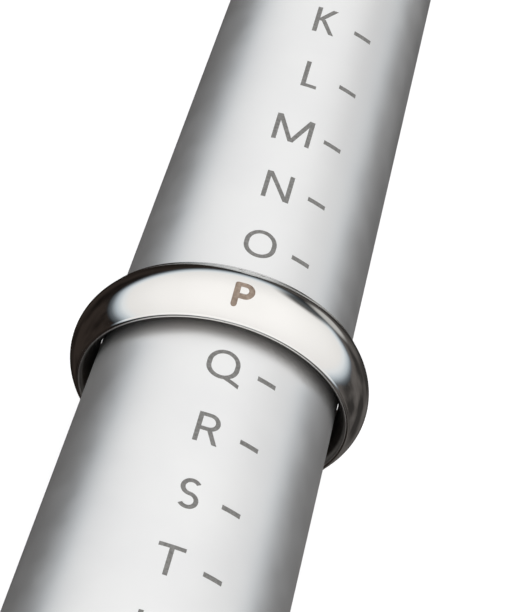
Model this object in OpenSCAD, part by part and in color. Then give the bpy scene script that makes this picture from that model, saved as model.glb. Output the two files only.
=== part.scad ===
// Ring mandrel: a hollow tapered gauge shaft marked with ring sizes A to Z, on an octagonal
// handle, with a gauge ring seated at its own size.
// The axis of the stick is Y, with the tip at +Y. The origin is the middle of the butt face.
// The letters are on top, at +Z, and the stick lies on the lower flat of its grip.

/* [Ring sizes] */
// Inside girth of a ring of size A
girth_a = 37.5; // [36:0.1:40]
// Growth in girth from one size to the next
girth_step = 1.25; // [1:0.05:1.3]
// Distance along the shaft from one size to the next
size_pitch = 6; // [5.6:0.1:7]
// Size at which the gauge ring sits, counting A as 0
ring_size = 15; // [3:1:21]

/* [Shaft] */
// From the shoulder to the largest size
shoulder_margin = 10; // [6:0.5:20]
// From the smallest size to the tip
tip_margin = 9; // [7:0.5:20]
// Radius of the straight bore in the large end
shaft_bore_r = 7; // [6.5:0.1:7.5]
// Wall of the tapered bore
shaft_wall = 2; // [1.6:0.1:2.2]
// Radius of the hole that the tip plug fits
tip_hole_r = 4; // [3.6:0.1:4]
// Depth of the hole that the tip plug fits
tip_hole_len = 11; // [8:0.5:14]
// Radius of the spigot that carries the collar and the grip
spigot_r = 9; // [8.6:0.1:9.4]
// Length of the spigot inside the grip
spigot_len = 12; // [8:0.5:16]

/* [Marks] */
// Height of the size letters
letter_h = 2.7; // [2:0.1:3.2]
// Width of the letters' strokes
letter_stroke = 0.35; // [0.2:0.01:0.4]
// Sideways drift of the row of letters for each mm towards the butt
letter_drift = 0.0075; // [0:0.0005:0.01]
// Length of the tick beside each letter, around the shaft
tick_len = 1.5; // [1:0.1:2]
// Width of a tick along the shaft
tick_w = 0.42; // [0.2:0.02:0.6]
// Angle around the shaft from the letters to the ticks' near ends
tick_angle = 16.2; // [15:0.1:25]
// Depth of the marks
mark_depth = 0.12; // [0.08:0.01:0.2]
// How far the marks' colour lies under the surface
mark_sink = 0.02; // [0.01:0.01:0.04]

/* [Gauge ring] */
// Width of the ring along the shaft
ring_w = 5; // [4:0.1:6]
// Thickness of the ring at the middle of its width
ring_wall = 2.15; // [1.8:0.05:2.2]
// How far the bore flares from its waist to its rims
ring_flare = 1.09; // [0.8:0.01:1.2]
// Radius of the rounded rims
ring_bead = 0.2; // [0.1:0.01:0.25]
// Clearance around the shaft at the bore's waist
ring_clear = 0.04; // [0.01:0.01:0.06]
// Lean of the loose ring, its top towards the butt
ring_tilt = 2.5; // [0:0.1:3]
// Sideways lean of the ring, its left towards the butt
ring_yaw = 1.1; // [0:0.1:1.5]
// Turn of the ring around the shaft, from the letters
ring_turn = -0.8; // [-5:0.1:5]
// Height of the letter on the ring
ring_letter_h = 2.1; // [1.6:0.1:2.4]
// Width of that letter's strokes
ring_stroke = 0.45; // [0.3:0.01:0.5]
// Distance of that letter from the middle of the ring, towards the butt
ring_letter_offset = 0.44; // [0:0.01:1]
// Depth of the engraving on the ring
ring_mark_depth = 0.25; // [0.15:0.01:0.3]
// How far the engraving's colour lies under the dome
ring_mark_sink = 0.05; // [0.02:0.01:0.08]

/* [Handle] */
// Length of the grip
grip_len = 104; // [95:1:120]
// Half of the grip's width across its flats
grip_flat = 11.3; // [11.2:0.05:12]
// Radius to the rounded edges between the flats
grip_edge_r = 12; // [11.9:0.05:12.2]
// Rounding of the grip's front end
grip_front_round = 1.6; // [1:0.1:2]
// Rounding of the grip's butt end
grip_butt_round = 2.6; // [2:0.1:3]
// Depth of the finger hollow behind the collar
hollow_depth = 1.1; // [0.5:0.1:1.5]
// Radius of the finger hollow's curve
hollow_r = 34; // [25:1:45]
// Number of grooves around the grip
groove_count = 6; // [3:1:7]
// Distance between grooves
groove_pitch = 6; // [5:0.5:6]
// Radius of each groove's curve
groove_r = 1; // [0.6:0.1:1.4]
// Depth of each groove below the flats
groove_depth = 0.5; // [0.3:0.1:0.6]
// Radius of the hanging hole
hang_r = 2.5; // [2:0.1:3]
// Distance of the hanging hole from the butt
hang_y = 14; // [12:0.5:18]
// Chamfer at both mouths of the hanging hole
hang_chamfer = 0.8; // [0.4:0.1:1.2]
// Length of the collar
collar_len = 6; // [5:0.5:8]
// Radius of the butt cap
cap_r = 8; // [7:0.1:8.5]
// Thickness of the butt cap
cap_t = 2.5; // [2:0.1:3.5]

/* [Tang] */
// Radius of the tang
tang_r = 4; // [3:0.1:4.5]
// Length of tang inside the grip, behind the spigot
tang_len = 56; // [45:1:60]
// Radius of the pin across the tang
pin_r = 1.5; // [1:0.1:2]
// Distance of the pin from the butt
pin_y = 52; // [45:1:60]

/* [Hidden] */
$fn = 96;

alphabet = "ABCDEFGHIJKLMNOPQRSTUVWXYZ";
last_size = len(alphabet) - 1;
shoulder_y = grip_len + collar_len;

// Radius of the shaft at a size: the girth grows by one step for each letter.
function size_r(k) = (girth_a + k * girth_step) / (2 * PI);
function size_y(k) = shoulder_y + shoulder_margin + (last_size - k) * size_pitch;
taper = (size_r(1) - size_r(0)) / size_pitch;
function shaft_r(y) = size_r(0) + taper * (size_y(0) - y);
tip_y = size_y(0) + tip_margin;
spigot_y = grip_len - spigot_len;
tang_y = spigot_y - tang_len;

far = 20; // reaches past the outside of the stick from its axis

ring_y = size_y(ring_size);
ring_bore_r = size_r(ring_size) + ring_clear;
ring_r = ring_bore_r + ring_wall;
rim_r = ring_bore_r + ring_flare;
rim_half = ring_w / 2 - ring_bead;
// Radius of the arc that rises by `rise` over the half width of the ring.
function dome(rise) = (rim_half * rim_half + rise * rise) / (2 * rise);
outer_dome = dome(ring_r - rim_r - ring_bead);
inner_dome = dome(ring_flare - ring_bead);

// ---- turned shapes ----

// Turns a profile of [radius, y] points around the axis of the stick.
module turned(points) rotate([-90, 0, 0]) rotate_extrude() polygon(points);

module rod(r, y0, y1) translate([0, y0, 0]) rotate([-90, 0, 0]) cylinder(r = r, h = y1 - y0);

// A cylinder across the stick, centred on its axis.
module cross_rod(r, y, length)
    translate([-length / 2, y, 0]) rotate([0, 90, 0]) cylinder(r = r, h = length);

// The tapered shell between two distances from the surface of the shaft.
module shaft_skin(outside, inside)
    turned([
        [shaft_r(shoulder_y) + outside, shoulder_y], [shaft_r(tip_y) + outside, tip_y],
        [shaft_r(tip_y) - inside, tip_y], [shaft_r(shoulder_y) - inside, shoulder_y]
    ]);

// ---- letters ----
// Strokes are given by their centre lines. $h is the height of the letters, $t the width of
// the strokes, and $soft says whether the strokes have round ends.

// A straight stroke. A steep one is cut level at its ends, a flat one is cut upright.
module line(x0, y0, x1, y1) {
    run = x1 - x0;
    rise = y1 - y0;
    reach = norm([run, rise]) * $t / 2;
    steep = abs(rise) > 0.75 * abs(run);
    dx = steep ? reach / abs(rise) : 0;
    dy = steep ? 0 : reach / abs(run);
    if ($soft) {
        nx = rise / norm([run, rise]) * $t / 2;
        ny = -run / norm([run, rise]) * $t / 2;
        polygon([[x0 - nx, y0 - ny], [x0 + nx, y0 + ny], [x1 + nx, y1 + ny], [x1 - nx, y1 - ny]]);
        translate([x0, y0]) circle(r = $t / 2);
        translate([x1, y1]) circle(r = $t / 2);
    } else {
        polygon([[x0 - dx, y0 - dy], [x0 + dx, y0 + dy], [x1 + dx, y1 + dy], [x1 - dx, y1 - dy]]);
    }
}

// A round stroke from angle a0 to angle a1, anticlockwise.
module bow(x, y, r, a0, a1) {
    steps = 6;
    translate([x, y]) intersection() {
        difference() {
            circle(r = r + $t / 2);
            circle(r = r - $t / 2);
        }
        polygon(concat([[0, 0]], [
            for (i = [0:steps]) let (a = a0 + (a1 - a0) * i / steps) 2 * r * [cos(a), sin(a)]
        ]));
    }
}

// A half-round bowl that opens to the left, between two heights, with straight top and bottom.
module bowl(x0, x1, low, high) {
    r = (high - low) / 2;
    line(x0, high, x1 - r, high);
    line(x0, low, x1 - r, low);
    bow(x1 - r, low + r, r, -90, 90);
}

// An upright oval, open between the angles -gap and gap on its right side.
module oval(w, gap) {
    r = (w - $t) / 2;
    side = max($h / 2 - $t / 2 - r, 0.001);
    start = max(gap, 0);
    bow(w / 2, $h / 2 + side, r, start, 180);
    bow(w / 2, $h / 2 - side, r, 180, 360 - start);
    line($t / 2, $h / 2 - side, $t / 2, $h / 2 + side);
    if (gap <= 0) line(w - $t / 2, $h / 2 - side, w - $t / 2, $h / 2 + side);
}

// Width of each letter as a share of its height.
function glyph_width(c) =
    c == "I" ? $t / $h :
    c == "J" ? 0.38 :
    c == "L" ? 0.51 :
    c == "E" || c == "F" ? 0.54 :
    c == "S" || c == "K" ? 0.62 :
    c == "B" || c == "R" ? 0.66 :
    c == "Z" ? 0.68 :
    c == "P" || c == "T" || c == "C" || c == "Y" || c == "X" ? 0.73 :
    c == "H" || c == "U" ? 0.76 :
    c == "N" || c == "D" || c == "G" || c == "A" || c == "V" ? 0.78 :
    c == "O" || c == "Q" ? 0.89 :
    1.08;

// How far a letter stands to the right of the middle of the row, as a share of its height.
function letter_shift(c) =
    c == "L" ? 0.1 :
    c == "E" || c == "F" ? 0.07 :
    c == "R" || c == "S" || c == "B" || c == "P" ? 0.045 :
    c == "N" || c == "K" ? 0.035 :
    c == "Q" ? -0.035 : 0.01;

// A plain capital letter, centred on the origin.
module glyph(c) {
    w = glyph_width(c) * $h;
    cut = $soft ? $t / 2 : 0;
    low = cut;
    high = $h - cut;
    left = $t / 2;
    right = w - $t / 2;
    base = $t / 2;
    top = $h - $t / 2;
    mid = $h / 2;
    translate([-w / 2, -$h / 2]) {
        if (c == "A") {
            line(left, low, w / 2, high);
            line(right, low, w / 2, high);
            line(w * 0.2, $h * 0.3, w * 0.8, $h * 0.3);
        }
        if (c == "B") {
            line(left, low, left, high);
            bowl(left, right - $t / 4, mid, top);
            bowl(left, right, base, mid);
        }
        if (c == "C") oval($h * 0.92, 48);
        if (c == "D") {
            line(left, low, left, high);
            r = right - w * 0.25;
            line(left, top, right - r, top);
            line(left, base, right - r, base);
            bow(right - r, top - r, r, 0, 90);
            bow(right - r, base + r, r, -90, 0);
            line(right, base + r, right, top - r);
        }
        if (c == "E" || c == "F") {
            line(left, low, left, high);
            line(left, top, right, top);
            line(left, mid, right - $t / 2, mid);
        }
        if (c == "E" || c == "L") line(left, base, right, base);
        if (c == "G") {
            oval($h * 0.92, 48);
            line(right - $t / 2, $h * 0.2, right - $t / 2, mid);
            line(mid, mid - $t / 2, right, mid - $t / 2);
        }
        if (c == "H") {
            line(left, low, left, high);
            line(right, low, right, high);
            line(left, mid, right, mid);
        }
        if (c == "I" || c == "L") line(left, low, left, high);
        if (c == "J") {
            r = right - left;
            line(right, base + r, right, high);
            bow(right - r, base + r, r, -90, 0);
        }
        if (c == "K") {
            line(left, low, left, high);
            line(left + $t / 2, mid - $t / 4, right - $t / 4, high);
            line(w * 0.36, mid + $t / 3, right, low);
        }
        if (c == "M") {
            line(left, low, left, high);
            line(right, low, right, high);
            line(left + $t / 8, high, w / 2, low);
            line(right - $t / 8, high, w / 2, low);
        }
        if (c == "N") {
            line(left, low, left, high);
            line(right, low, right, high);
            line(left + $t / 8, high, right - $t / 8, low);
        }
        if (c == "O" || c == "Q") oval(w, 0);
        if (c == "Q") line(w * 0.62, $h * 0.08, w * 1.1, -$h * 0.08);
        if (c == "P") {
            line(left, low, left, high);
            bowl(left, right, $h * 0.42, top);
        }
        if (c == "R") {
            line(left, low, left, high);
            bowl(left, right - $t / 3, $h * 0.47, top);
            line(w * 0.55, $h * 0.47, right, low);
        }
        if (c == "S") {
            r = (w - $t) / 2;
            lobe = (top - base) / 4;
            bow(w / 2, top - lobe, lobe, 35, 270);
            bow(w / 2, base + lobe, lobe, -145, 90);
            line(w / 2 - (r - lobe), mid, w / 2 + (r - lobe), mid);
        }
        if (c == "T") {
            line(w / 2, low, w / 2, high);
            line(cut, top, w - cut, top);
        }
        if (c == "U") {
            r = (right - left) / 2;
            line(left, base + r, left, high);
            line(right, base + r, right, high);
            bow(w / 2, base + r, r, 180, 360);
        }
        if (c == "V") {
            line(left, high, w / 2, low);
            line(right, high, w / 2, low);
        }
        if (c == "W") {
            line(left, high, w * 0.27, low);
            line(w / 2, high, w * 0.27, low);
            line(w / 2, high, w * 0.73, low);
            line(right, high, w * 0.73, low);
        }
        if (c == "X") {
            line(left, low, right, high);
            line(left, high, right, low);
        }
        if (c == "Y") {
            line(w / 2, low, w / 2, mid);
            line(left, high, w / 2, mid - $t / 2);
            line(right, high, w / 2, mid - $t / 2);
        }
        if (c == "Z") {
            line(cut, top, w - cut, top);
            line(cut, base, w - cut, base);
            line(left + $t / 4, base, right - $t / 4, top);
        }
    }
}

module letter_prisms() {
    $h = letter_h;
    $t = letter_stroke;
    $soft = false;
    for (k = [0:last_size]) {
        across = letter_drift * (ring_y - size_y(k)) + letter_shift(alphabet[k]) * letter_h;
        translate([across, size_y(k), 0])
            linear_extrude(height = far) glyph(alphabet[k]);
    }
}

module tick_prisms()
    for (k = [0:last_size])
        translate([0, size_y(k), 0]) rotate([0, tick_angle, 0]) translate([0, -tick_w / 2, 0])
            cube([tick_len, tick_w, far]);

// ---- gauge shaft ----

module gauge_shaft() color("gainsboro") {
    taper_start = tip_y - (shaft_bore_r + shaft_wall - shaft_r(tip_y)) / taper;
    hole_y = tip_y - tip_hole_len;
    chamfer = 0.3;
    difference() {
        turned([
            [shaft_bore_r, spigot_y],
            [spigot_r - chamfer, spigot_y], [spigot_r, spigot_y + chamfer], [spigot_r, shoulder_y],
            [shaft_r(shoulder_y) - chamfer, shoulder_y],
            [shaft_r(shoulder_y + chamfer), shoulder_y + chamfer],
            [shaft_r(tip_y - chamfer), tip_y - chamfer], [shaft_r(tip_y) - chamfer, tip_y],
            [tip_hole_r, tip_y], [tip_hole_r, hole_y],
            [shaft_r(hole_y) - shaft_wall, hole_y], [shaft_bore_r, taper_start]
        ]);
        intersection() {
            union() {
                letter_prisms();
                tick_prisms();
            }
            shaft_skin(1, mark_depth);
        }
    }
}

module size_letters() color("dimgray") intersection() {
    letter_prisms();
    shaft_skin(-mark_sink, mark_depth);
}

module size_ticks() color("dimgray") intersection() {
    tick_prisms();
    shaft_skin(-mark_sink, mark_depth);
}

module tip_plug() color("#202020") {
    head_r = shaft_r(tip_y) - 0.3;
    head_h = 3;
    crown_r = 12;
    rod(tip_hole_r, tip_y - tip_hole_len + 1, tip_y);
    intersection() {
        rod(head_r, tip_y, tip_y + head_h);
        translate([0, tip_y + head_h - crown_r, 0]) sphere(r = crown_r);
    }
}

// ---- gauge ring ----

// The ring without its engraving, grown or shrunk at its outer dome by `extra`.
module ring_body(extra) translate([0, ring_y, 0]) rotate([-90, 0, 0]) rotate_extrude() {
    intersection() {
        translate([ring_r - outer_dome, 0]) circle(r = outer_dome + extra);
        translate([ring_bore_r + inner_dome, 0]) circle(r = inner_dome);
        translate([0, -rim_half]) square([far, 2 * rim_half]);
    }
    if (extra == 0)
        for (side = [-1, 1]) translate([rim_r, side * rim_half]) circle(r = ring_bead);
}

module ring_letter_prism() {
    $h = ring_letter_h;
    $t = ring_stroke;
    $soft = true;
    rotate([0, ring_turn, 0]) translate([0, ring_y - ring_letter_offset, 0])
        linear_extrude(height = far) glyph(alphabet[ring_size]);
}

// Leans the ring about its middle.
module lean()
    translate([0, ring_y, 0]) rotate([ring_tilt, 0, ring_yaw]) translate([0, -ring_y, 0]) children();

module gauge_ring() color("silver") lean() difference() {
    ring_body(0);
    difference() {
        ring_letter_prism();
        ring_body(-ring_mark_depth);
        rod(rim_r, ring_y - ring_w, ring_y + ring_w);
    }
}

module ring_letter() color("rosybrown") lean() difference() {
    intersection() {
        ring_letter_prism();
        ring_body(-ring_mark_sink);
    }
    ring_body(-ring_mark_depth);
    rod(rim_r, ring_y - ring_w, ring_y + ring_w);
}

// ---- handle ----

module base_plug() color("lightgray") difference() {
    rod(shaft_bore_r, spigot_y, shoulder_y + 2);
    rod(tang_r, spigot_y - 1, shoulder_y + 3);
}

module tang() color("slategray") difference() {
    rod(tang_r, tang_y, shoulder_y + 1);
    cross_rod(pin_r, pin_y, far);
}

module tang_pin() color("lightgray") cross_rod(pin_r, pin_y, 2 * grip_flat - 0.4);

module collar() color("#b8babd") {
    edge = 0.4;
    groove = 0.5;
    mid = grip_len + collar_len / 2;
    turned([
        [spigot_r, grip_len], [grip_flat - edge, grip_len], [grip_flat, grip_len + edge],
        [grip_flat, mid - groove], [grip_flat - groove, mid], [grip_flat, mid + groove],
        [grip_flat, shoulder_y - edge], [grip_flat - edge, shoulder_y], [spigot_r, shoulder_y]
    ]);
}

// Outline of the turned form that the octagonal bar is cut to.
module grip_profile() {
    front_y = grip_len - grip_front_round;
    translate([0, grip_butt_round]) square([grip_edge_r, front_y - grip_butt_round]);
    square([grip_edge_r - grip_butt_round, grip_len / 2]);
    square([grip_edge_r - grip_front_round, grip_len]);
    translate([grip_edge_r - grip_butt_round, grip_butt_round]) circle(r = grip_butt_round);
    translate([grip_edge_r - grip_front_round, front_y]) circle(r = grip_front_round);
}

module grip() color("#1c1c1e") difference() {
    hollow_y = grip_len - 16;
    groove_y = 66;
    intersection() {
        rotate([-90, 0, 0]) rotate(22.5) cylinder(r = grip_flat / cos(22.5), h = grip_len, $fn = 8);
        rotate([-90, 0, 0]) rotate_extrude() intersection() {
            grip_profile();
            square([far, grip_len]);
        }
    }
    // finger hollow and grooves
    rotate([-90, 0, 0]) rotate_extrude() {
        translate([grip_flat - hollow_depth + hollow_r, hollow_y]) circle(r = hollow_r);
        for (i = [0:groove_count - 1])
            translate([grip_flat - groove_depth + groove_r, groove_y - i * groove_pitch])
                circle(r = groove_r);
    }
    // seats of the spigot, the tang, its pin and the butt cap
    rod(spigot_r, spigot_y, grip_len + 1);
    rod(tang_r, tang_y, grip_len);
    cross_rod(pin_r, pin_y, 2 * far);
    rod(cap_r, -1, cap_t);
    rod(tang_r / 2, 0, cap_t + 5);
    // hanging hole
    cross_rod(hang_r, hang_y, 2 * far);
    for (side = [-1, 1])
        translate([side * (grip_flat - hang_chamfer), hang_y, 0]) rotate([0, side * 90, 0])
            cylinder(r1 = hang_r, r2 = hang_r + 2 * hang_chamfer, h = 2 * hang_chamfer);
}

module butt_cap() color("silver") {
    edge = 0.3;
    turned([[0, 0], [cap_r - edge, 0], [cap_r, edge], [cap_r, cap_t], [0, cap_t]]);
    rod(tang_r / 2, cap_t, cap_t + 4.5);
}

gauge_shaft();
size_letters();
size_ticks();
tip_plug();
base_plug();
tang();
tang_pin();
collar();
grip();
butt_cap();
gauge_ring();
ring_letter();
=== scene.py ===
"""Looks of the ring mandrel: camera, soft studio light, floor and procedural materials."""

import math

import bmesh
import bpy
from mathutils import Euler, Matrix, Vector


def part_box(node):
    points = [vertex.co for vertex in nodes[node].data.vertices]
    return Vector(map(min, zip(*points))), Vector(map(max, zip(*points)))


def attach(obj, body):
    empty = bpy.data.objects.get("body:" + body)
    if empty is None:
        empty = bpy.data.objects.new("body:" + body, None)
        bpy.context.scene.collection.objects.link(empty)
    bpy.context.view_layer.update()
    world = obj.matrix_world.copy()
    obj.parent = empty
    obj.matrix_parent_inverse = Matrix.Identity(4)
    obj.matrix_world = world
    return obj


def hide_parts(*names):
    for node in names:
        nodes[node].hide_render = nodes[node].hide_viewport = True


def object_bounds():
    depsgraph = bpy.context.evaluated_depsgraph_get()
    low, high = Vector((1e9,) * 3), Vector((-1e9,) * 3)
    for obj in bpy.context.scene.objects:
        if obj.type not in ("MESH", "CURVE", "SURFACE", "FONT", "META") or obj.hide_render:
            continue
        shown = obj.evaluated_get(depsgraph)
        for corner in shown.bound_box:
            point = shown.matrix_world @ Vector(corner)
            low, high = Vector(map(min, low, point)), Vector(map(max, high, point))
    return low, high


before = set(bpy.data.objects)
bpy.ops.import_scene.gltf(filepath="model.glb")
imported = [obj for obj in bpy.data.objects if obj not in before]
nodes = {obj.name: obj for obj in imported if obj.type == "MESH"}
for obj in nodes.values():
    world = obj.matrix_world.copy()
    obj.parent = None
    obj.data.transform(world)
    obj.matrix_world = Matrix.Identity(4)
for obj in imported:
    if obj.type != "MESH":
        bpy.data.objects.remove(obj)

cad_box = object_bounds()
scene = bpy.context.scene
scene.view_settings.view_transform = "Standard"
scene.view_settings.look = "None"

MM = 0.001
ring_low, ring_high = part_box("gauge_ring")
RING_CENTRE = Vector((0, (ring_low.y + ring_high.y) / 2, 0))
FLOOR_Z = cad_box[0].z


# ---- camera ----

# The camera looks down along the stick from above the handle.
AIM = RING_CENTRE + Vector((1.04, 7.47, 0)) * MM
DISTANCE = 0.296
ELEVATION = math.radians(50.55)
AZIMUTH = math.radians(-1.17)
ROLL = math.radians(18.14)
LENS = 233.6
SENSOR = 36


def make_camera():
    data = bpy.data.cameras.new("camera")
    data.lens = LENS
    data.sensor_width = SENSOR
    data.clip_start = 0.01
    data.clip_end = 50
    camera = bpy.data.objects.new("camera", data)
    back = Vector((
        math.sin(AZIMUTH) * math.cos(ELEVATION),
        -math.cos(AZIMUTH) * math.cos(ELEVATION),
        math.sin(ELEVATION),
    ))
    level = Vector((math.cos(AZIMUTH), math.sin(AZIMUTH), 0))
    right = Matrix.Rotation(ROLL, 3, back) @ level
    up = back.cross(right)
    turn = Matrix((right, up, back)).transposed().to_4x4()
    camera.matrix_world = Matrix.Translation(AIM + back * DISTANCE) @ turn
    scene.collection.objects.link(camera)
    scene.camera = camera


# ---- node helpers ----

# Nearly all of a noise lies between these two values.
NOISE_LOW = 0.3
NOISE_HIGH = 0.7


def new_material(name):
    material = bpy.data.materials.new(name)
    material.use_nodes = True
    tree = material.node_tree
    return material, tree, tree.nodes["Principled BSDF"]


def feed(tree, value, socket):
    """Gives an input either another node's output or a fixed value."""
    if isinstance(value, bpy.types.NodeSocket):
        tree.links.new(value, socket)
    else:
        socket.default_value = value


def maths(tree, operation, *values):
    node = tree.nodes.new("ShaderNodeMath")
    node.operation = operation
    for value, socket in zip(values, node.inputs):
        feed(tree, value, socket)
    return node.outputs[0]


def vector_maths(tree, operation, *values):
    """An operation on vectors that gives a number."""
    node = tree.nodes.new("ShaderNodeVectorMath")
    node.operation = operation
    for value, socket in zip(values, node.inputs):
        feed(tree, value, socket)
    return node.outputs["Value"]


def map_range(tree, value, start, end, low, high, kind="LINEAR"):
    """Low to high as the value goes from start to end."""
    node = tree.nodes.new("ShaderNodeMapRange")
    node.interpolation_type = kind
    feed(tree, value, node.inputs["Value"])
    node.inputs["From Min"].default_value = start
    node.inputs["From Max"].default_value = end
    node.inputs["To Min"].default_value = low
    node.inputs["To Max"].default_value = high
    return node.outputs["Result"]


def mix_colours(tree, factor, first, second, blend="MIX"):
    """Two colours mixed. Each of the three values is a number, a colour or a socket."""
    node = tree.nodes.new("ShaderNodeMix")
    node.data_type = "RGBA"
    node.blend_type = blend
    # The node has an A and a B for each data type. The colours are inputs 6 and 7, output 2.
    feed(tree, factor, node.inputs["Factor"])
    feed(tree, first, node.inputs[6])
    feed(tree, second, node.inputs[7])
    return node.outputs[2]


def noise(tree, vector, scale, detail):
    node = tree.nodes.new("ShaderNodeTexNoise")
    node.inputs["Scale"].default_value = scale
    node.inputs["Detail"].default_value = detail
    tree.links.new(vector, node.inputs["Vector"])
    return node.outputs["Fac"]


def ramp(tree, factor, stops):
    """A colour ramp on a socket. Each stop is (place, grey) or (place, (r, g, b))."""
    node = tree.nodes.new("ShaderNodeValToRGB")
    elements = node.color_ramp.elements
    while len(elements) < len(stops):
        elements.new(0.5)
    for element, (place, colour) in zip(elements, stops):
        element.position = place
        shade = colour if isinstance(colour, tuple) else (colour,) * 3
        element.color = (*shade, 1)
    tree.links.new(factor, node.inputs["Fac"])
    return node.outputs["Color"]


# ---- light ----

# Directions, seen from the object, of a dark stand and a small bright board beyond the tip.
STAND = Vector((0.44, 0.88, 0.20)).normalized()
BOARD = Vector((0.50, 0.86, -0.09)).normalized()
BOARD_COLOUR = (0.55, 0.55, 0.54, 1)

# The dark below the tent reaches higher towards the tip and towards the butt. Each entry has
# the part of Y over which it rises, and how far.
DARK_RISES = ((0.45, 0.90, 0.2), (-0.55, -0.95, 0.38))
DARK_LEFT = (0.018, 0.014, 0.012, 1)
DARK_RIGHT = (0.074, 0.069, 0.066, 1)

# Brightness of the tent by height, from straight down at -1 to straight up at 1.
TENT = (
    (-0.20, (0.0, 0.0, 0.0)),
    (-0.12, (0.13, 0.15, 0.17)),
    (-0.04, (0.51, 0.58, 0.64)),
    (0.05, (0.83, 0.88, 0.92)),
    (0.14, (0.92, 0.92, 0.92)),
    (0.5, (1.02, 1.02, 1.02)),
    (0.9, (1.12, 1.12, 1.12)),
)


def studio_light(tree):
    """Colour of the studio by direction: a white tent overhead and dark, uneven clutter below."""
    direction = tree.nodes.new("ShaderNodeTexCoord").outputs["Generated"]
    split = tree.nodes.new("ShaderNodeSeparateXYZ")
    tree.links.new(direction, split.inputs["Vector"])

    def step(value, start, end, low, high):
        return map_range(tree, value, start, end, low, high, "SMOOTHSTEP")

    level = split.outputs["Z"]
    for start, end, rise in DARK_RISES:
        level = maths(tree, "SUBTRACT", level, step(split.outputs["Y"], start, end, 0, rise))
    place = maths(tree, "MULTIPLY_ADD", level, 0.5, 0.5)
    sky = ramp(tree, place, [((height + 1) / 2, colour) for height, colour in TENT])
    dark = mix_colours(tree, step(split.outputs["X"], -0.1, 0.4, 0, 1), DARK_LEFT, DARK_RIGHT)
    clutter = ramp(tree, noise(tree, direction, 2.6, 3), [(0.38, 0.5), (0.62, 1.8)])
    below = mix_colours(tree, 1, dark, clutter, "MULTIPLY")
    tent = mix_colours(tree, 1, sky, below, "LIGHTEN")
    stand = step(vector_maths(tree, "DISTANCE", direction, STAND), 0.12, 0.33, 0.12, 1)
    shaded = mix_colours(tree, 1, tent, stand, "MULTIPLY")
    board = step(vector_maths(tree, "DISTANCE", direction, BOARD), 0.10, 0.22, 1, 0)
    return mix_colours(tree, board, shaded, BOARD_COLOUR)


def make_world():
    """The studio lights the object, and the camera sees plain white behind it."""
    world = bpy.data.worlds.new("studio")
    world.use_nodes = True
    scene.world = world
    tree = world.node_tree
    tree.nodes.clear()
    studio = tree.nodes.new("ShaderNodeBackground")
    tree.links.new(studio_light(tree), studio.inputs["Color"])
    plain = tree.nodes.new("ShaderNodeBackground")
    plain.inputs["Color"].default_value = (1, 1, 1, 1)
    ray = tree.nodes.new("ShaderNodeLightPath")
    either = tree.nodes.new("ShaderNodeMixShader")
    out = tree.nodes.new("ShaderNodeOutputWorld")
    tree.links.new(ray.outputs["Is Camera Ray"], either.inputs["Fac"])
    tree.links.new(studio.outputs[0], either.inputs[1])
    tree.links.new(plain.outputs[0], either.inputs[2])
    tree.links.new(either.outputs[0], out.inputs["Surface"])


def make_floor():
    """A plain pale floor, which neither lights the object nor shows in its reflections."""
    material, _, shader = new_material("floor")
    shader.inputs["Base Color"].default_value = (0.9, 0.9, 0.9, 1)
    shader.inputs["Roughness"].default_value = 0.8
    shader.inputs["Emission Color"].default_value = (1, 1, 1, 1)
    shader.inputs["Emission Strength"].default_value = 0.45
    bpy.ops.mesh.primitive_circle_add(
        vertices=64, radius=12, fill_type="NGON", location=(0, 0, FLOOR_Z)
    )
    floor = bpy.context.object
    floor.name = "floor"
    floor.data.materials.append(material)
    floor.visible_glossy = False
    floor.visible_diffuse = False


# ---- turned pieces with marks cut in them ----

# Enough sides that reflections show no facets.
SIDES = 288
# How far the solids that cut a mark reach out past the surface.
CUTTER_REACH = 0.4 * MM
# Corners this close are the same corner.
SAME_CORNER = 0.0005 * MM


def lathe(name, profile):
    """A closed mesh turned about the Y axis from a closed profile of (radius, y) points."""
    points = []
    for side in range(SIDES):
        turn = 2 * math.pi * side / SIDES
        points += [(r * math.sin(turn), y, r * math.cos(turn)) for r, y in profile]
    count = len(profile)
    faces = []
    for side in range(SIDES):
        here = side * count
        there = (side + 1) % SIDES * count
        for i in range(count):
            j = (i + 1) % count
            faces.append((here + i, here + j, there + j, there + i))
    mesh = bpy.data.meshes.new(name)
    mesh.from_pydata(points, [], faces)
    mesh.validate()
    return mesh


def cutter_mesh(form, name):
    bmesh.ops.remove_doubles(form, verts=form.verts, dist=SAME_CORNER)
    mesh = bpy.data.meshes.new(name)
    form.to_mesh(mesh)
    form.free()
    return mesh


def cut(name, mesh, tool):
    """The mesh with the tool's solids taken out of it, as a new object."""
    body = bpy.data.objects.new(name, mesh)
    cutter = bpy.data.objects.new("cutter", tool)
    for item in (body, cutter):
        scene.collection.objects.link(item)
    modifier = body.modifiers.new("cut", "BOOLEAN")
    modifier.object = cutter
    modifier.operation = "DIFFERENCE"
    modifier.solver = "EXACT"
    graph = bpy.context.evaluated_depsgraph_get()
    result = bpy.data.meshes.new_from_object(body.evaluated_get(graph), depsgraph=graph)
    body.modifiers.clear()
    body.data = result
    bpy.data.objects.remove(cutter)
    return body


def set_exact_normals(mesh, surface):
    """Normals of the true turned surface, and sharp edges where it is cut. surface(point) gives
    the distance below the surface and the outward normal there."""
    sharp = math.radians(25)
    on_surface = 0.01 * MM
    same_way = 0.9
    mesh.shade_smooth()
    mesh.set_sharp_from_angle(angle=sharp)
    normals = [(0, 0, 0)] * len(mesh.loops)
    for face in mesh.polygons:
        corners = [mesh.vertices[mesh.loops[loop].vertex_index].co for loop in face.loop_indices]
        found = [surface(corner) for corner in corners]
        if any(depth > on_surface or normal.dot(face.normal) < same_way for depth, normal in found):
            continue
        for loop, (depth, normal) in zip(face.loop_indices, found):
            normals[loop] = tuple(normal)
    mesh.normals_split_custom_set(normals)


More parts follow.
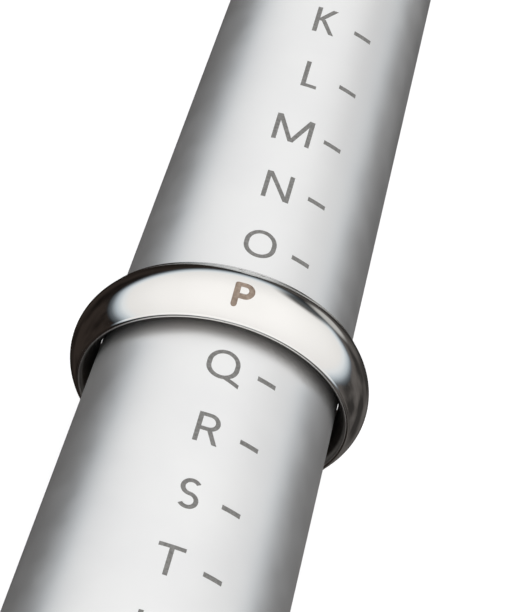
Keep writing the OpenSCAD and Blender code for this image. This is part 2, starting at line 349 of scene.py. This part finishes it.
def finish_piece(piece, material, body, node):
    piece.data.materials.clear()
    piece.data.materials.append(material)
    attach(piece, body)
    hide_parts(node)


# ---- the tapered shaft ----

FIRST_GIRTH = 37.5 * MM
GIRTH_STEP = 1.25 * MM
RING_SIZE = 15
SIZE_PITCH = 6 * MM
TAPER = GIRTH_STEP / (2 * math.pi) / SIZE_PITCH
SEAT_RADIUS = (FIRST_GIRTH + RING_SIZE * GIRTH_STEP) / (2 * math.pi)
TICK_ANGLE = math.radians(16.2)


def shaft_radius(y):
    return SEAT_RADIUS - TAPER * (y - RING_CENTRE.y)


def shaft_profile():
    """Points (radius, y) once round the turned section of the shaft, butt end first."""
    chamfer = 0.3 * MM
    wall = 2 * MM
    spigot_radius = 9 * MM
    plug_radius = 4 * MM
    plug_gap = 1 * MM
    rows = 120
    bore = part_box("base_plug")[1].x
    butt, tip = (corner.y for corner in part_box("gauge_shaft"))
    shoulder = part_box("collar")[1].y
    hole_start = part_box("tip_plug")[0].y - plug_gap
    straight_to = RING_CENTRE.y + (SEAT_RADIUS - wall - bore) / TAPER
    start = shoulder + chamfer
    end = tip - chamfer
    profile = [
        (bore, butt),
        (spigot_radius - chamfer, butt),
        (spigot_radius, butt + chamfer),
        (spigot_radius, shoulder),
        (shaft_radius(shoulder) - chamfer, shoulder),
    ]
    for row in range(rows + 1):
        y = start + (end - start) * row / rows
        profile.append((shaft_radius(y), y))
    return profile + [
        (shaft_radius(tip) - chamfer, tip),
        (plug_radius, tip),
        (plug_radius, hole_start),
        (shaft_radius(hole_start) - wall, hole_start),
        (bore, straight_to),
    ]


def shaft_surface(point):
    slope = math.atan(TAPER)
    out = Vector((point.x, 0, point.z))
    normal = out.normalized() * math.cos(slope) + Vector((0, math.sin(slope), 0))
    return shaft_radius(point.y) - out.length, normal


def mark_cutter():
    """The letters and ticks as solids that reach out through the face of the shaft."""
    half_depth = 0.07 * MM
    form = bmesh.new()
    for name, turn in (("size_letters", 0), ("size_ticks", TICK_ANGLE)):
        first = len(form.verts)
        form.from_mesh(nodes[name].data)
        form.verts.ensure_lookup_table()
        out = Vector((math.sin(turn), 0, math.cos(turn))) * CUTTER_REACH
        for vertex in form.verts[first:]:
            if shaft_surface(vertex.co)[0] < half_depth:
                vertex.co += out
    return cutter_mesh(form, "mark_cutter")


def make_shaft(material):
    name = "tapered_shaft"
    shaft = cut(name, lathe(name, shaft_profile()), mark_cutter())
    set_exact_normals(shaft.data, shaft_surface)
    finish_piece(shaft, material, "root", "gauge_shaft")


# ---- the gauge ring ----

RING_CLEARANCE = 0.04 * MM
RING_WALL = 2.15 * MM
RING_FLARE = 1.09 * MM
RING_WIDTH = 5 * MM
RIM_BEAD = 0.2 * MM
BORE_RADIUS = SEAT_RADIUS + RING_CLEARANCE
RING_RADIUS = BORE_RADIUS + RING_WALL
RIM_RADIUS = BORE_RADIUS + RING_FLARE
RIM_HALF = RING_WIDTH / 2 - RIM_BEAD

# How the ring leans on the taper: its top and its left side stand towards the butt.
TILT = math.radians(2.5)
YAW = math.radians(1.1)
LEAN = (
    Matrix.Translation(RING_CENTRE)
    @ Euler((TILT, 0, YAW)).to_matrix().to_4x4()
    @ Matrix.Translation(-RING_CENTRE)
)


def arc_radius(rise):
    """Radius of the arc that rises by this much over the half width of the ring."""
    return (RIM_HALF ** 2 + rise ** 2) / (2 * rise)


OUTER_ARC = arc_radius(RING_RADIUS - RIM_RADIUS - RIM_BEAD)
OUTER_CENTRE = RING_RADIUS - OUTER_ARC
INNER_ARC = arc_radius(RIM_RADIUS - RIM_BEAD - BORE_RADIUS)
INNER_CENTRE = BORE_RADIUS + INNER_ARC


def arc(radius, y, size, start, end, steps):
    """Points (radius, y) along an arc about a centre, with both its ends."""
    points = []
    for i in range(steps + 1):
        angle = start + (end - start) * i / steps
        points.append((radius + size * math.cos(angle), y + size * math.sin(angle)))
    return points


def ring_profile():
    """Points (radius, y) once round the section of the ring: band, rim, bore and other rim."""
    band_steps = 40
    rim_steps = 14
    outer = math.asin(RIM_HALF / OUTER_ARC)
    inner = math.asin(RIM_HALF / INNER_ARC)
    band = arc(OUTER_CENTRE, 0, OUTER_ARC, -outer, outer, band_steps)
    tip_rim = arc(RIM_RADIUS, RIM_HALF, RIM_BEAD, 0, math.pi, rim_steps)
    bore = arc(INNER_CENTRE, 0, INNER_ARC, math.pi - inner, math.pi + inner, band_steps)
    butt_rim = arc(RIM_RADIUS, -RIM_HALF, RIM_BEAD, math.pi, 2 * math.pi, rim_steps)
    points = band + tip_rim[1:-1] + bore + butt_rim[1:-1]
    return [(r, y + RING_CENTRE.y) for r, y in points]


def ring_surface(point):
    y = point.y - RING_CENTRE.y
    out = Vector((point.x, 0, point.z))
    radius = out.length
    if abs(y) > RIM_HALF:
        centre, size = (RIM_RADIUS, math.copysign(RIM_HALF, y)), RIM_BEAD
    elif radius > RIM_RADIUS:
        centre, size = (OUTER_CENTRE, 0), OUTER_ARC
    else:
        centre, size = (INNER_CENTRE, 0), INNER_ARC
    away = Vector((radius - centre[0], y - centre[1]))
    normal = out.normalized() * away.x + Vector((0, away.y, 0))
    return size - away.length, normal.normalized()


def engraving_cutter():
    """The ring's letter, upright, as a solid that reaches out through the band."""
    half_depth = 0.15 * MM
    form = bmesh.new()
    form.from_mesh(nodes["ring_letter"].data)
    form.transform(LEAN.inverted())
    for vertex in form.verts:
        if ring_surface(vertex.co)[0] < half_depth:
            vertex.co.z += CUTTER_REACH
    return cutter_mesh(form, "engraving_cutter")


def make_ring(material):
    name = "band_ring"
    ring = cut(name, lathe(name, ring_profile()), engraving_cutter())
    set_exact_normals(ring.data, ring_surface)
    ring.data.transform(LEAN)
    finish_piece(ring, material, "ring", "gauge_ring")


# ---- materials ----

def grain(tree, scale, detail=2.0, stretch=(1, 1, 1)):
    """Noise fixed to the object. scale is in cells per metre."""
    place = tree.nodes.new("ShaderNodeTexCoord")
    mapping = tree.nodes.new("ShaderNodeMapping")
    mapping.inputs["Scale"].default_value = stretch
    tree.links.new(place.outputs["Object"], mapping.inputs["Vector"])
    return noise(tree, mapping.outputs["Vector"], scale, detail)


def axis_place(tree):
    """Distance of the point from the Y axis, and its place along the axis."""
    place = tree.nodes.new("ShaderNodeTexCoord")
    split = tree.nodes.new("ShaderNodeSeparateXYZ")
    flat = tree.nodes.new("ShaderNodeCombineXYZ")
    tree.links.new(place.outputs["Object"], split.inputs["Vector"])
    tree.links.new(split.outputs["X"], flat.inputs["X"])
    tree.links.new(split.outputs["Z"], flat.inputs["Z"])
    return vector_maths(tree, "LENGTH", flat.outputs["Vector"]), split.outputs["Y"]


def lathe_lines(tree, scale, detail=3.0):
    """Fine rings round the Y axis, as a turning tool leaves on sides and end faces."""
    distance, along = axis_place(tree)
    section = tree.nodes.new("ShaderNodeCombineXYZ")
    tree.links.new(distance, section.inputs["X"])
    tree.links.new(along, section.inputs["Y"])
    return noise(tree, section.outputs["Vector"], scale, detail)


def tone(tree, factor, dark, light):
    """A colour that wanders from dark to light with a noise."""
    return ramp(tree, factor, [(NOISE_LOW, dark), (NOISE_HIGH, light)])


def set_colour(tree, shader, colour):
    tree.links.new(colour, shader.inputs["Base Color"])


def set_roughness(tree, shader, factor, low, high):
    roughness = map_range(tree, factor, NOISE_LOW, NOISE_HIGH, low, high)
    tree.links.new(roughness, shader.inputs["Roughness"])


def set_bumps(tree, shader, layers):
    """Stacks bumps. Each layer is (height, strength, depth in metres)."""
    below = None
    for height, strength, depth in layers:
        node = tree.nodes.new("ShaderNodeBump")
        node.inputs["Strength"].default_value = strength
        node.inputs["Distance"].default_value = depth
        tree.links.new(height, node.inputs["Height"])
        if below:
            tree.links.new(below, node.inputs["Normal"])
        below = node.outputs["Normal"]
    tree.links.new(below, shader.inputs["Normal"])


def shaft_aluminium():
    """Satin aluminium: fine blasted grain over faint turning lines, with handling haze."""
    material, tree, shader = new_material("shaft_aluminium")
    shader.inputs["Metallic"].default_value = 0.80
    haze = tone(tree, grain(tree, 160, 4), (0.805, 0.805, 0.805), (0.835, 0.835, 0.83))
    set_colour(tree, shader, haze)
    set_roughness(tree, shader, grain(tree, 420, 5), 0.32, 0.38)
    set_bumps(tree, shader, [
        (lathe_lines(tree, 5200), 0.25, 1.2e-6),
        (grain(tree, 7500, 3), 0.5, 4e-6),
    ])
    return material


def laser_mark():
    """Oxide left by the marking laser, a little uneven along each stroke."""
    material, tree, shader = new_material("laser_mark")
    oxide = tone(tree, grain(tree, 5200, 3), (0.150, 0.146, 0.138), (0.245, 0.240, 0.230))
    set_colour(tree, shader, oxide)
    set_roughness(tree, shader, grain(tree, 3000), 0.5, 0.72)
    set_bumps(tree, shader, [(grain(tree, 9000, 3), 0.5, 8e-6)])
    return material


def ring_polished():
    """Polished warm white metal with faint hairlines and soft smears. The bore is painted shade: it is
    coloured dark brown-black instead of polished, which also darkens the ring's shadow where the shaft
    reflects it.
    """
    material, tree, shader = new_material("ring_polished")
    shader.inputs["Metallic"].default_value = 1
    band = tone(tree, grain(tree, 240, 3), (0.815, 0.797, 0.77), (0.845, 0.827, 0.80))
    # Painted shade: the bore is coloured dark brown-black in place of the shade inside the ring. The
    # shaft reflects this colour, so the ring's shadow on the shaft looks darker too.
    bore = tone(tree, grain(tree, 300, 4), (0.115, 0.098, 0.086), (0.20, 0.175, 0.155))
    distance, _ = axis_place(tree)
    bore_end = RIM_RADIUS - 2 * RIM_BEAD
    rim_start = RIM_RADIUS - RIM_BEAD
    # Mask of the painted bore shade: full over the bore, fading out before the rim bead, which stays
    # bright.
    painted_bore_shade = map_range(tree, distance, bore_end, rim_start, 1, 0, "SMOOTHSTEP")
    set_colour(tree, shader, mix_colours(tree, painted_bore_shade, band, bore))
    set_roughness(tree, shader, grain(tree, 330, 5, (1, 0.4, 1)), 0.05, 0.12)
    set_bumps(tree, shader, [
        (grain(tree, 700, 3, (1, 9, 1)), 0.3, 3e-6),
        (grain(tree, 180, 2), 0.35, 2e-5),
    ])
    return material


def ring_engraving():
    """The floor of the engraved letter, burnt brown and darker in spots."""
    material, tree, shader = new_material("ring_engraving")
    set_colour(tree, shader, tone(tree, grain(tree, 4200, 4), (0.22, 0.16, 0.12), (0.40, 0.31, 0.245)))
    set_roughness(tree, shader, grain(tree, 3600), 0.55, 0.8)
    set_bumps(tree, shader, [(grain(tree, 6500, 4), 0.7, 1.5e-5)])
    return material


def edge_wear(tree):
    """1 on rubbed edges, 0 on flats, broken up by noise."""
    rounded = tree.nodes.new("ShaderNodeBevel")
    rounded.samples = 6
    rounded.inputs["Radius"].default_value = 0.5 * MM
    true = tree.nodes.new("ShaderNodeNewGeometry")
    match = vector_maths(tree, "DOT_PRODUCT", rounded.outputs["Normal"], true.outputs["Normal"])
    edge = ramp(tree, match, [(0.90, 1.0), (0.985, 0.0)])
    patches = ramp(tree, grain(tree, 700, 4), [(0.40, 0.15), (0.60, 1.0)])
    return maths(tree, "MULTIPLY", edge, patches)


def moulded(name, dark, light, worn, gloss, pebble, depth):
    """Moulded plastic: a pebbled skin, glossier in rubbed patches and pale along worn edges.
    gloss is the lowest and highest roughness, and pebble the pebbles per metre."""
    material, tree, shader = new_material(name)
    skin = tone(tree, grain(tree, 90, 5), dark, light)
    set_colour(tree, shader, mix_colours(tree, edge_wear(tree), skin, (*worn, 1)))
    set_roughness(tree, shader, grain(tree, 210, 5), *gloss)
    cells = tree.nodes.new("ShaderNodeTexVoronoi")
    cells.inputs["Scale"].default_value = pebble
    place = tree.nodes.new("ShaderNodeTexCoord")
    tree.links.new(place.outputs["Object"], cells.inputs["Vector"])
    set_bumps(tree, shader, [
        (cells.outputs["Distance"], 0.35, depth),
        (grain(tree, 5200, 3), 0.4, depth / 3),
    ])
    return material


def turned_metal(name, tint, gloss, lines):
    """Bright turned metal: tool rings round the axis and a few dull patches.
    gloss is the lowest and highest roughness, and lines the tool rings per metre."""
    material, tree, shader = new_material(name)
    shader.inputs["Metallic"].default_value = 0.82
    darker = tuple(part * 0.9 for part in tint)
    set_colour(tree, shader, tone(tree, grain(tree, 260, 4), darker, tint))
    set_roughness(tree, shader, lathe_lines(tree, lines, 4), *gloss)
    set_bumps(tree, shader, [
        (lathe_lines(tree, lines), 0.6, 6e-6),
        (grain(tree, 4200, 3), 0.3, 2e-6),
    ])
    return material


def grip_black():
    return moulded(
        "grip_black",
        dark=(0.012, 0.012, 0.013), light=(0.030, 0.030, 0.031), worn=(0.085, 0.085, 0.087),
        gloss=(0.34, 0.56), pebble=1100, depth=9e-5,
    )


def plug_nylon():
    return moulded(
        "plug_nylon",
        dark=(0.018, 0.018, 0.019), light=(0.035, 0.035, 0.036), worn=(0.075, 0.075, 0.077),
        gloss=(0.42, 0.6), pebble=2200, depth=3e-5,
    )


def collar_steel():
    return turned_metal("collar_steel", (0.70, 0.70, 0.70), gloss=(0.28, 0.46), lines=2600)


def fitting_steel():
    return turned_metal("fitting_steel", (0.5, 0.49, 0.47), gloss=(0.3, 0.5), lines=1800)


def plug_aluminium():
    return turned_metal("plug_aluminium", (0.78, 0.78, 0.78), gloss=(0.3, 0.45), lines=2200)


def paint(material, *names):
    for name in names:
        slots = nodes[name].data.materials
        slots.clear()
        slots.append(material)


# ---- the scene ----

make_camera()
make_world()
make_floor()
aluminium = shaft_aluminium()
polished = ring_polished()
make_shaft(aluminium)
make_ring(polished)
paint(aluminium, "gauge_shaft")
paint(polished, "gauge_ring")
paint(laser_mark(), "size_letters", "size_ticks")
paint(ring_engraving(), "ring_letter")
paint(grip_black(), "grip")
paint(plug_nylon(), "tip_plug")
paint(collar_steel(), "collar", "butt_cap")
paint(fitting_steel(), "tang", "tang_pin")
paint(plug_aluminium(), "base_plug")
